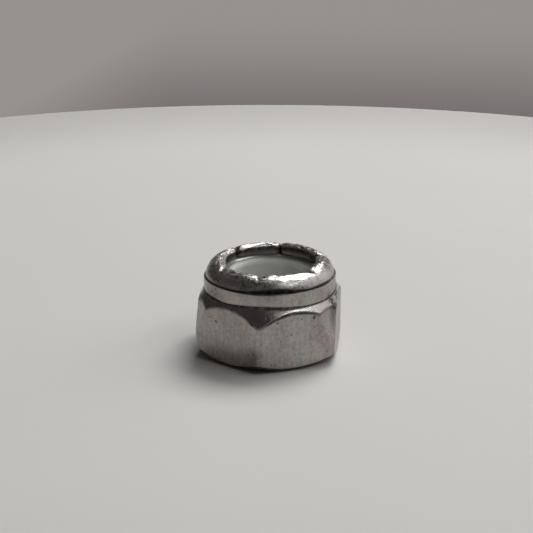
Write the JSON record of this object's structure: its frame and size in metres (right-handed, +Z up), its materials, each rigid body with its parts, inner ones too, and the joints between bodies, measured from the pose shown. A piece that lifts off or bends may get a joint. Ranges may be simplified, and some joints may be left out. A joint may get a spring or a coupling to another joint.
{
  "type": "nylon insert lock nut",
  "caption": "Hexagon lock nut in steel, with a round collar whose crimped rim holds a white nylon locking ring.",
  "frame": {"origin": "centre of the bearing face, on the thread's axis", "axes": "+Z up the thread's axis from the bearing face to the rolled rim; the hexagon's flats face +Y and -Y, and two of its corners lie on the X axis"},
  "size_m": [0.0144, 0.0126, 0.0088],
  "materials": {
    "stainless_steel": "satin, barrel finished, with small pits",
    "nylon": "natural white nylon, slightly waxy"
  },
  "bodies": {
    "root": {"nut_body": "stainless_steel", "nylon_insert": "nylon"}
  },
  "joints": []
}
